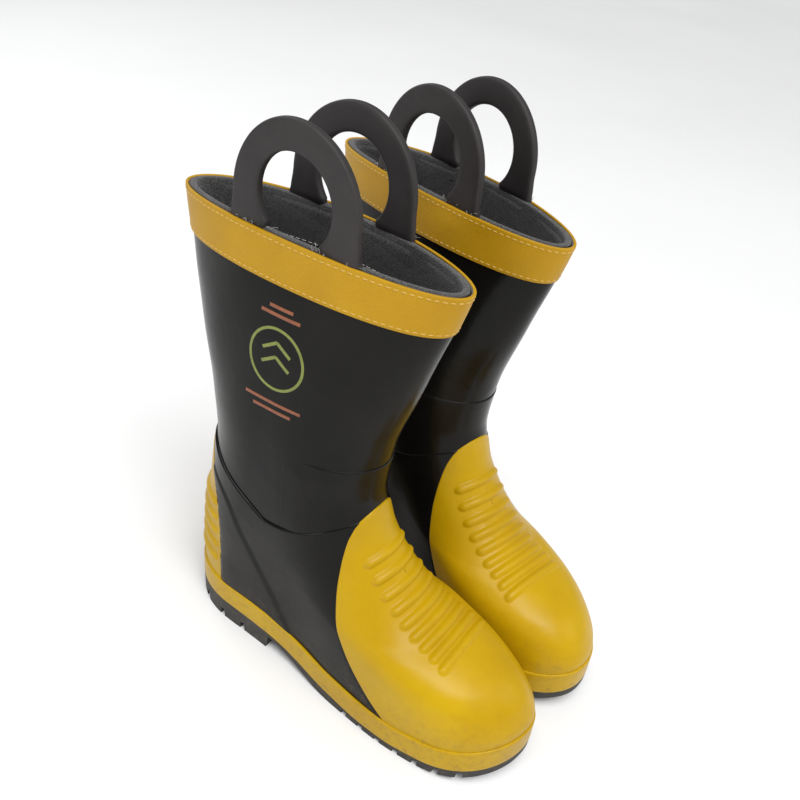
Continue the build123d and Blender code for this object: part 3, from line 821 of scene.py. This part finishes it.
def heel_guard_skin():
    """The heel guard, from behind the welt up to where its two edges meet."""
    heights = np.linspace(120, 178, 2000)
    top = heights[np.argmin(np.abs(heel_edge_at(heights) - back_at(heights)))]
    shares = 1 - (1 - spread(150, 140.0)) ** 1.6
    rows_at = HEEL_GUARD_BOTTOM + (top - 0.05 - HEEL_GUARD_BOTTOM) * shares
    reach = turn_at(heel_edge_at(np.maximum(rows_at, 24)), rows_at)
    columns = 2 * spread(150, 100.0, start_lip=True, end_lip=True) - 1
    grid_turns = columns[None, :] * reach[:, None]
    rows = surface(grid_turns, rows_at[:, None] + 0.0 * grid_turns)
    normal = normals_of(rows, ring=False)
    edge = np.concatenate((rows[:, 0], rows[:, -1]))
    distance = distance_to(rows, edge)
    ridges = np.zeros_like(distance)
    for level in HEEL_RIDGES:
        beyond = rows[..., 0] - (HEEL_RIDGE_END - HEEL_RIDGE_HALF)
        ridges = np.maximum(ridges, ridge_height(rows[..., 2] - level, beyond,
                                                 HEEL_RIDGE_HALF, RIDGE))
    rise = (GUARD * rounded(distance) + ridges * smooth_step(distance, 1, 4)
            + GUARD_WAVINESS * unevenness(rows))
    outer = rows + normal * rise[..., None]
    return one_layer(outer, rows - normal * BURIED)


def mouth_ring(section):
    """A closed section of (depth, drop below the mouth) points carried round the mouth."""
    rows = []
    for depth, drop in section:
        heights = height_on(lambda forward: mouth_at(forward) - drop, turns, depth, *MOUTH_SEARCH)
        rows.append(surface(turns, heights, depth))
    return closed_ring(rows)


def topline_band_skin():
    """The tape, slightly crowned, with its edges rolled over."""
    corner = np.linspace(0, math.pi / 2, 5)
    section = [(0.4, BAND_HEIGHT), (-0.4, BAND_HEIGHT)]
    section += [(-BAND + 0.7 - 0.7 * math.sin(a), BAND_HEIGHT - 0.7 + 0.7 * math.cos(a))
                for a in corner]
    section += [(-BAND - 0.12 * math.sin(math.pi * k / 12), BAND_HEIGHT * (1 - k / 12))
                for k in range(1, 12)]
    section += [(-BAND + 0.6 - 0.6 * math.cos(a), 0.3 - 0.9 * math.sin(a)) for a in corner]
    section += [(0.6, -0.5), (0.6, 0.3)]
    return mouth_ring(section)


def facing_skin():
    """Cloth strip that wraps the rim and runs down inside the mouth."""
    turnover = np.linspace(0, math.pi, 9)
    section = [(2.2, 2.2)]
    section += [(4.5 - 2.3 * math.cos(a), 0.3 - 1.1 * math.sin(a)) for a in turnover]
    section += [(6.7 + 0.9 * share, 3 + (FACING_HEIGHT - 4) * share)
                for share in np.linspace(0, 1, 12)]
    section += [(FACING - 0.3, FACING_HEIGHT), (LINING - 0.4, FACING_HEIGHT)]
    section += [(LINING - 0.6, drop) for drop in (20.0, 10.0, 4.0)]
    section += [(4.6, 2.6)]
    return mouth_ring(section)


def lining_skin():
    """The lining, with faint creases, from the insole board up to below the mouth."""
    low = height_on(lambda forward: sole_at(forward) + BOARD_TOP, turns, LINING)
    high = height_on(lambda forward: mouth_at(forward) - 4.0, turns, LINING, high=368.0)
    rows = ring_rows(low, high, np.linspace(0, 1, 90), LINING)
    normal = normals_of(rows, ring=True)
    creases = 0.5 * np.sin(rows[..., 2] / 8 + rows[..., 0] / 19) * np.sin(rows[..., 1] / 13 + 0.7)
    inner = rows - normal * (0.1 + np.abs(creases))[..., None]
    return one_layer(rows + normal * 0.9, inner, ring=True)


def footbed_skin():
    """Removable insole with a slightly raised rim."""
    rings = []
    for depth, rise in ((7.6, BOARD_TOP + 0.3), (7.0, BOARD_TOP + 0.6), (6.8, 12.0), (7.0, 13.9),
                        (7.5, 14.7), (9.0, 14.9)):
        heights = height_on(lambda forward: sole_at(forward) + rise, turns, depth)
        rings.append(surface(turns, heights, depth))
    rim = rings[-1]
    spine = np.stack((np.clip(rim[:, 0], 40, 250), 0.0 * rim[:, 1] - 2.0), axis=-1)

    def towards_spine(edge, share, rise):
        flat = edge[:, :2] + (spine - edge[:, :2]) * share
        return np.column_stack((flat, sole_at(flat[:, 0]) + rise))

    top = [towards_spine(rim, share, FOOTBED_TOP - 0.4 * math.sin(math.pi * share / 2))
           for share in np.linspace(0.08, 1.0, 12)]
    base = [towards_spine(rings[0], share, BOARD_TOP + 0.2) for share in np.linspace(0.2, 1.0, 4)]
    skin = Skin()
    skin.grid(np.stack(rings + top), ring=True)
    skin.grid(np.stack(rings[:1] + base), ring=True)
    return skin


def stitch_row(depth, drop, radius=0.45):
    """A row of sewn stitches round the mouth, each a short thread that dips in at its ends."""
    fine = np.linspace(-math.pi, math.pi, 3000)
    heights = height_on(lambda forward: mouth_at(forward) - drop, fine, depth, *MOUTH_SEARCH)
    line = surface(fine, heights, depth)
    sunk = surface(fine, heights, depth + (STITCH_SINK if depth < 0 else -STITCH_SINK))
    run = np.concatenate(([0], np.cumsum(np.linalg.norm(np.diff(line, axis=0), axis=1))))
    count = int(run[-1] / STITCH_PITCH)
    skin = Skin()
    for index in range(count):
        start = index * run[-1] / count
        stations = start + STITCH_LENGTH * np.linspace(0, 1, 7)
        sink = np.abs(np.linspace(-1, 1, 7)) ** 4
        top = np.stack([np.interp(stations, run, line[:, k]) for k in range(3)], axis=1)
        under = np.stack([np.interp(stations, run, sunk[:, k]) for k in range(3)], axis=1)
        skin.tube(top + (under - top) * sink[:, None], radius)
    return skin


def loop_skin(side_face):
    """The pull strap: a flat section with rounded edges carried along the arch and down."""
    drop = np.linspace(FLEX_HEIGHT - MOUTH_TOP + LOOP_FOOT, 0, 12, endpoint=False)
    lines = []
    for centre, (width, height) in ((ARCH_CENTRE, ARCH_SIZE), (EYE_CENTRE, EYE_SIZE)):
        start = math.asin(-centre / height)
        angle = start + (math.pi - 2 * start) * np.linspace(0, 1, 90)
        line = np.stack((LOOP_CENTRE + width * np.cos(angle),
                         FLEX_HEIGHT + centre + height * np.sin(angle)), axis=1)
        first = np.stack((np.full_like(drop, line[0, 0]), line[0, 1] - drop), axis=1)
        last = np.stack((np.full_like(drop, line[-1, 0]), line[-1, 1] - drop[::-1]), axis=1)
        lines.append(np.concatenate((first, line, last)))
    outside, inside = lines
    low = smooth_step(FLEX_HEIGHT + ARCH_CENTRE - outside[:, 1], 0, FOOT_SPREAD_DROP)
    outside[:, 0] += np.sign(outside[:, 0] - LOOP_CENTRE) * FOOT_SPREAD * low
    angles = np.linspace(0, 2 * math.pi, 32, endpoint=False)
    squared = [np.sign(f(angles)) * np.abs(f(angles)) ** power
               for f, power in ((np.cos, 0.32), (np.sin, 0.62))]
    middle, half = (outside + inside) / 2, (outside - inside) / 2
    mid_height = middle[:, 1:2]
    into = smooth_step(FLEX_HEIGHT - mid_height, 0.0, 8.0)
    thick = (LOOP_THICK - FOOT_THINNING * into) / 2
    plane = LOOP_PLANE + FOOT_SHIFT * into + 0.35 * np.sin(middle[:, :1] / 11)
    flat = middle[:, None, :] + half[:, None, :] * squared[0][None, :, None]
    beyond_eye = np.maximum(np.abs(flat[..., 0] - LOOP_CENTRE) - EYE_SIZE[0], 0)
    follow = FOLLOW * beyond_eye ** 2 * into
    outward = side_face * (plane - follow + thick * squared[1][None, :])
    grid = np.stack((flat[..., 0], outward, flat[..., 1]), axis=-1)
    skin = Skin()
    skin.capped(grid)
    return skin


def frayed_threads(seed):
    """Loose yarn ends standing out of the rim beside the feet of the straps."""
    draw = random.Random(seed)
    skin = Skin()
    for face in (1, -1):
        for foot in (-38, -24, 24, 40):
            for _ in range(12):
                forward = LOOP_CENTRE + foot + draw.uniform(-9, 9)
                outward = face * (LOOP_PLANE + draw.uniform(-0.5, 3.5))
                start = np.array((forward, outward, MOUTH_TOP - 1.0))
                lean = np.array((draw.uniform(-3, 3), face * draw.uniform(-2.0, 2.0), 0))
                curl = np.array((draw.uniform(-1.2, 1.2), draw.uniform(-1, 1), 0))
                length = draw.uniform(1.6, 4.2)
                share = np.linspace(0, 1, 9)[:, None]
                path = start + lean * share ** 1.4 + curl * np.sin(share * 4)
                path = path + np.array((0, 0, length)) * np.sin(share * draw.uniform(1.2, 2.6))
                skin.tube(path, 0.16 - 0.08 * share[:, 0], 5)
    return skin


def print_stroke(skin, path, width):
    """A painted stroke on the outer face; path is (forward, height) points in side view."""
    path = np.asarray(path, float)
    ahead = np.gradient(path, axis=0)
    ahead /= np.linalg.norm(ahead, axis=1, keepdims=True)
    across = np.stack((-ahead[:, 1], ahead[:, 0]), axis=1)
    shares = np.linspace(-0.5, 0.5, 7)[:, None, None]
    flat = path[None] + across[None] * shares * width
    forward, height = flat[..., 0], flat[..., 1]
    wall = np.stack((forward, outward_at(forward, height, np.ones(forward.shape)), height), axis=-1)
    wall[..., 1] += wall_unevenness(wall)
    skin.layer(wall + np.array((0, MARK_LIFT, 0)), wall - np.array((0, MARK_BURIED, 0)))


def stroke_line(start, end, count=24):
    """Points along a straight stroke."""
    share = np.linspace(0, 1, count)[:, None]
    return np.array(start) * (1 - share) + np.array(end) * share


def print_green_skin():
    """Generic mark: a ring with two chevrons."""
    skin = Skin()
    angle = np.linspace(0, 2 * math.pi, 97)
    ring = MARK_CENTRE + MARK_RADIUS * np.stack((np.cos(angle), np.sin(angle)), axis=1)
    print_stroke(skin, ring, 1.9)
    for drop in (-6, 4):
        tip = MARK_CENTRE + np.array((0, 6.0 - drop))
        for reach in (-11, 11):
            print_stroke(skin, stroke_line(tip, tip + np.array((reach, -7.0))), 2.2)
    return skin


def print_rust_skin():
    """Generic mark: plain bars above and below the ring."""
    skin = Skin()
    for rise, half in ((30, 15), (35, 9), (-32, 22), (-38, 15)):
        start, end = MARK_CENTRE + (-half, rise), MARK_CENTRE + (half, rise)
        print_stroke(skin, stroke_line(start, end, 40), 2.2)
    return skin


# ==== the pair
def make_boot(side):
    """Makes the pieces of one boot; side is 1 for the left boot and -1 for the right."""
    name = SIDE_NAMES[side]
    boot = name + "_boot"
    recipes = (
        ("shell_skin", shell_skin(), BLACK, "black_rubber", ("upper_shell",)),
        ("foot_reinforcement", vamp_overlay_skin(), BLACK, "black_rubber", ("vamp_overlay",)),
        ("ankle_reinforcement", ankle_overlay_skin(), BLACK, "black_rubber", ("ankle_overlay",)),
        ("welt_strip", welt_band_skin(), YELLOW, "yellow_rubber", ("welt_band",)),
        ("toe_guard_skin", toe_guard_skin(), YELLOW, "yellow_rubber", ("toe_guard",)),
        ("heel_guard_skin", heel_guard_skin(), YELLOW, "yellow_rubber", ("heel_guard",)),
        ("topline_tape", topline_band_skin(), BAND_TAPE, "band_fabric", ("topline_band",)),
        ("tape_stitches_upper", stitch_row(-BAND, STITCH_INSET), THREAD_YARN, "thread",
         ("band_stitch_upper",)),
        ("tape_stitches_lower", stitch_row(-BAND, BAND_HEIGHT - STITCH_INSET), THREAD_YARN,
         "thread", ("band_stitch_lower",)),
        ("facing_cloth", facing_skin(), FACING_CLOTH, "facing_fabric", ("facing_strip",)),
        ("facing_stitches", stitch_row(FACING + 0.35, FACING_HEIGHT - 2.5, 0.35), PALE_YARN,
         "thread", ()),
        ("lining_cloth", lining_skin(), LINING_CLOTH, "lining_fabric", ("lining",)),
        ("insole", footbed_skin(), FELT, "footbed_felt", ("footbed",)),
        ("frayed_yarns", frayed_threads(7 + side), PALE_YARN, "facing_fabric", ()),
        ("shaft_mark", print_green_skin(), PRINT_GREEN, "band_fabric", ()),
        ("shaft_mark_bars", print_rust_skin(), PRINT_RUST, "band_fabric", ()),
    )
    for piece_name, skin, material, slot, replaced in recipes:
        build(piece_name, skin, side, boot, material, replaced)
    for face, word in ((1, "outer"), (-1, "inner")):
        strap = build("pull_strap_" + word, loop_skin(face), side, None, STRAP,
                      ("pull_loop_" + word,), flat_angle=60)
        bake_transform(strap)


for boot_side in (1, -1):
    make_boot(boot_side)
    for node_material, nodes in NODE_MATERIALS:
        for node in nodes.split():
            cad_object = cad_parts[SIDE_NAMES[boot_side] + "_" + node]
            cad_object.data.materials.clear()
            cad_object.data.materials.append(node_material)

# ==== floor, lights and camera
bpy.context.scene.view_settings.view_transform = "Standard"
floor_shader = Shader("pale_floor", 0.6, Specular_IOR_Level=0.2)
floor_shader.colour(floor_shader.ramp(floor_shader.noise(1.2), [(0.3, (0.86, 0.86, 0.855)),
                                                               (0.7, (0.9, 0.9, 0.895))]))
bpy.ops.mesh.primitive_plane_add(size=60.0)
floor = bpy.context.object
floor.name = "floor"
floor.data.materials.append(floor_shader.material)


def area_light(name, position, target, size, power):
    data = bpy.data.lights.new(name, "AREA")
    data.shape = "DISK"
    data.size = size
    data.energy = power
    lamp = bpy.data.objects.new(name, data)
    lamp.location = position
    lamp.rotation_euler = (Vector(target) - Vector(position)).to_track_quat("-Z", "Y").to_euler()
    link(lamp)


area_light("key_light", (-0.5, -1.0, 1.7), (0, 0, 0.15), 0.8, 13.0)
area_light("fill_light", (0.9, -1.6, 1.3), (0, 0, 0.15), 1.0, 4.0)
area_light("side_light", (-1.9, 0.5, 0.8), (0, 0, 0.25), 0.5, 6.0)
area_light("rim_light", (0.3, 1.7, 1.5), (0, 0, 0.2), 1.2, 8.0)
sky = bpy.data.lights.new("even_light", "SUN")
sky.energy = 1.55
sky.angle = math.radians(40)
sky_lamp = bpy.data.objects.new("even_light", sky)
sky_lamp.rotation_euler = (math.radians(12), math.radians(-10), 0)
link(sky_lamp)

world = bpy.data.worlds.new("studio")
world.use_nodes = True
background = world.node_tree.nodes["Background"].inputs
background["Color"].default_value = (0.93, 0.94, 0.96, 1.0)
background["Strength"].default_value = 0.42
bpy.context.scene.world = world

CAMERA_PLACE = Vector((-0.4152, -0.2722, 0.5632))
CAMERA_AZIMUTH = math.radians(-54.7)
CAMERA_ELEVATION = math.radians(35.0)
CAMERA_ROLL = math.radians(9.2)
backward = Vector((math.sin(CAMERA_AZIMUTH) * math.cos(CAMERA_ELEVATION),
                   -math.cos(CAMERA_AZIMUTH) * math.cos(CAMERA_ELEVATION),
                   math.sin(CAMERA_ELEVATION)))
level_right = (-backward).cross(Vector((0, 0, 1))).normalized()
level_up = level_right.cross(-backward)
camera_x = math.cos(CAMERA_ROLL) * level_right + math.sin(CAMERA_ROLL) * level_up
camera_y = -math.sin(CAMERA_ROLL) * level_right + math.cos(CAMERA_ROLL) * level_up
camera_data = bpy.data.cameras.new("camera")
camera_data.lens = 38.1
camera_data.sensor_width = 36.0
camera = bpy.data.objects.new("camera", camera_data)
camera.matrix_world = (Matrix.Translation(CAMERA_PLACE)
                       @ Matrix((camera_x, camera_y, backward)).transposed().to_4x4())
link(camera)
bpy.context.scene.camera = camera
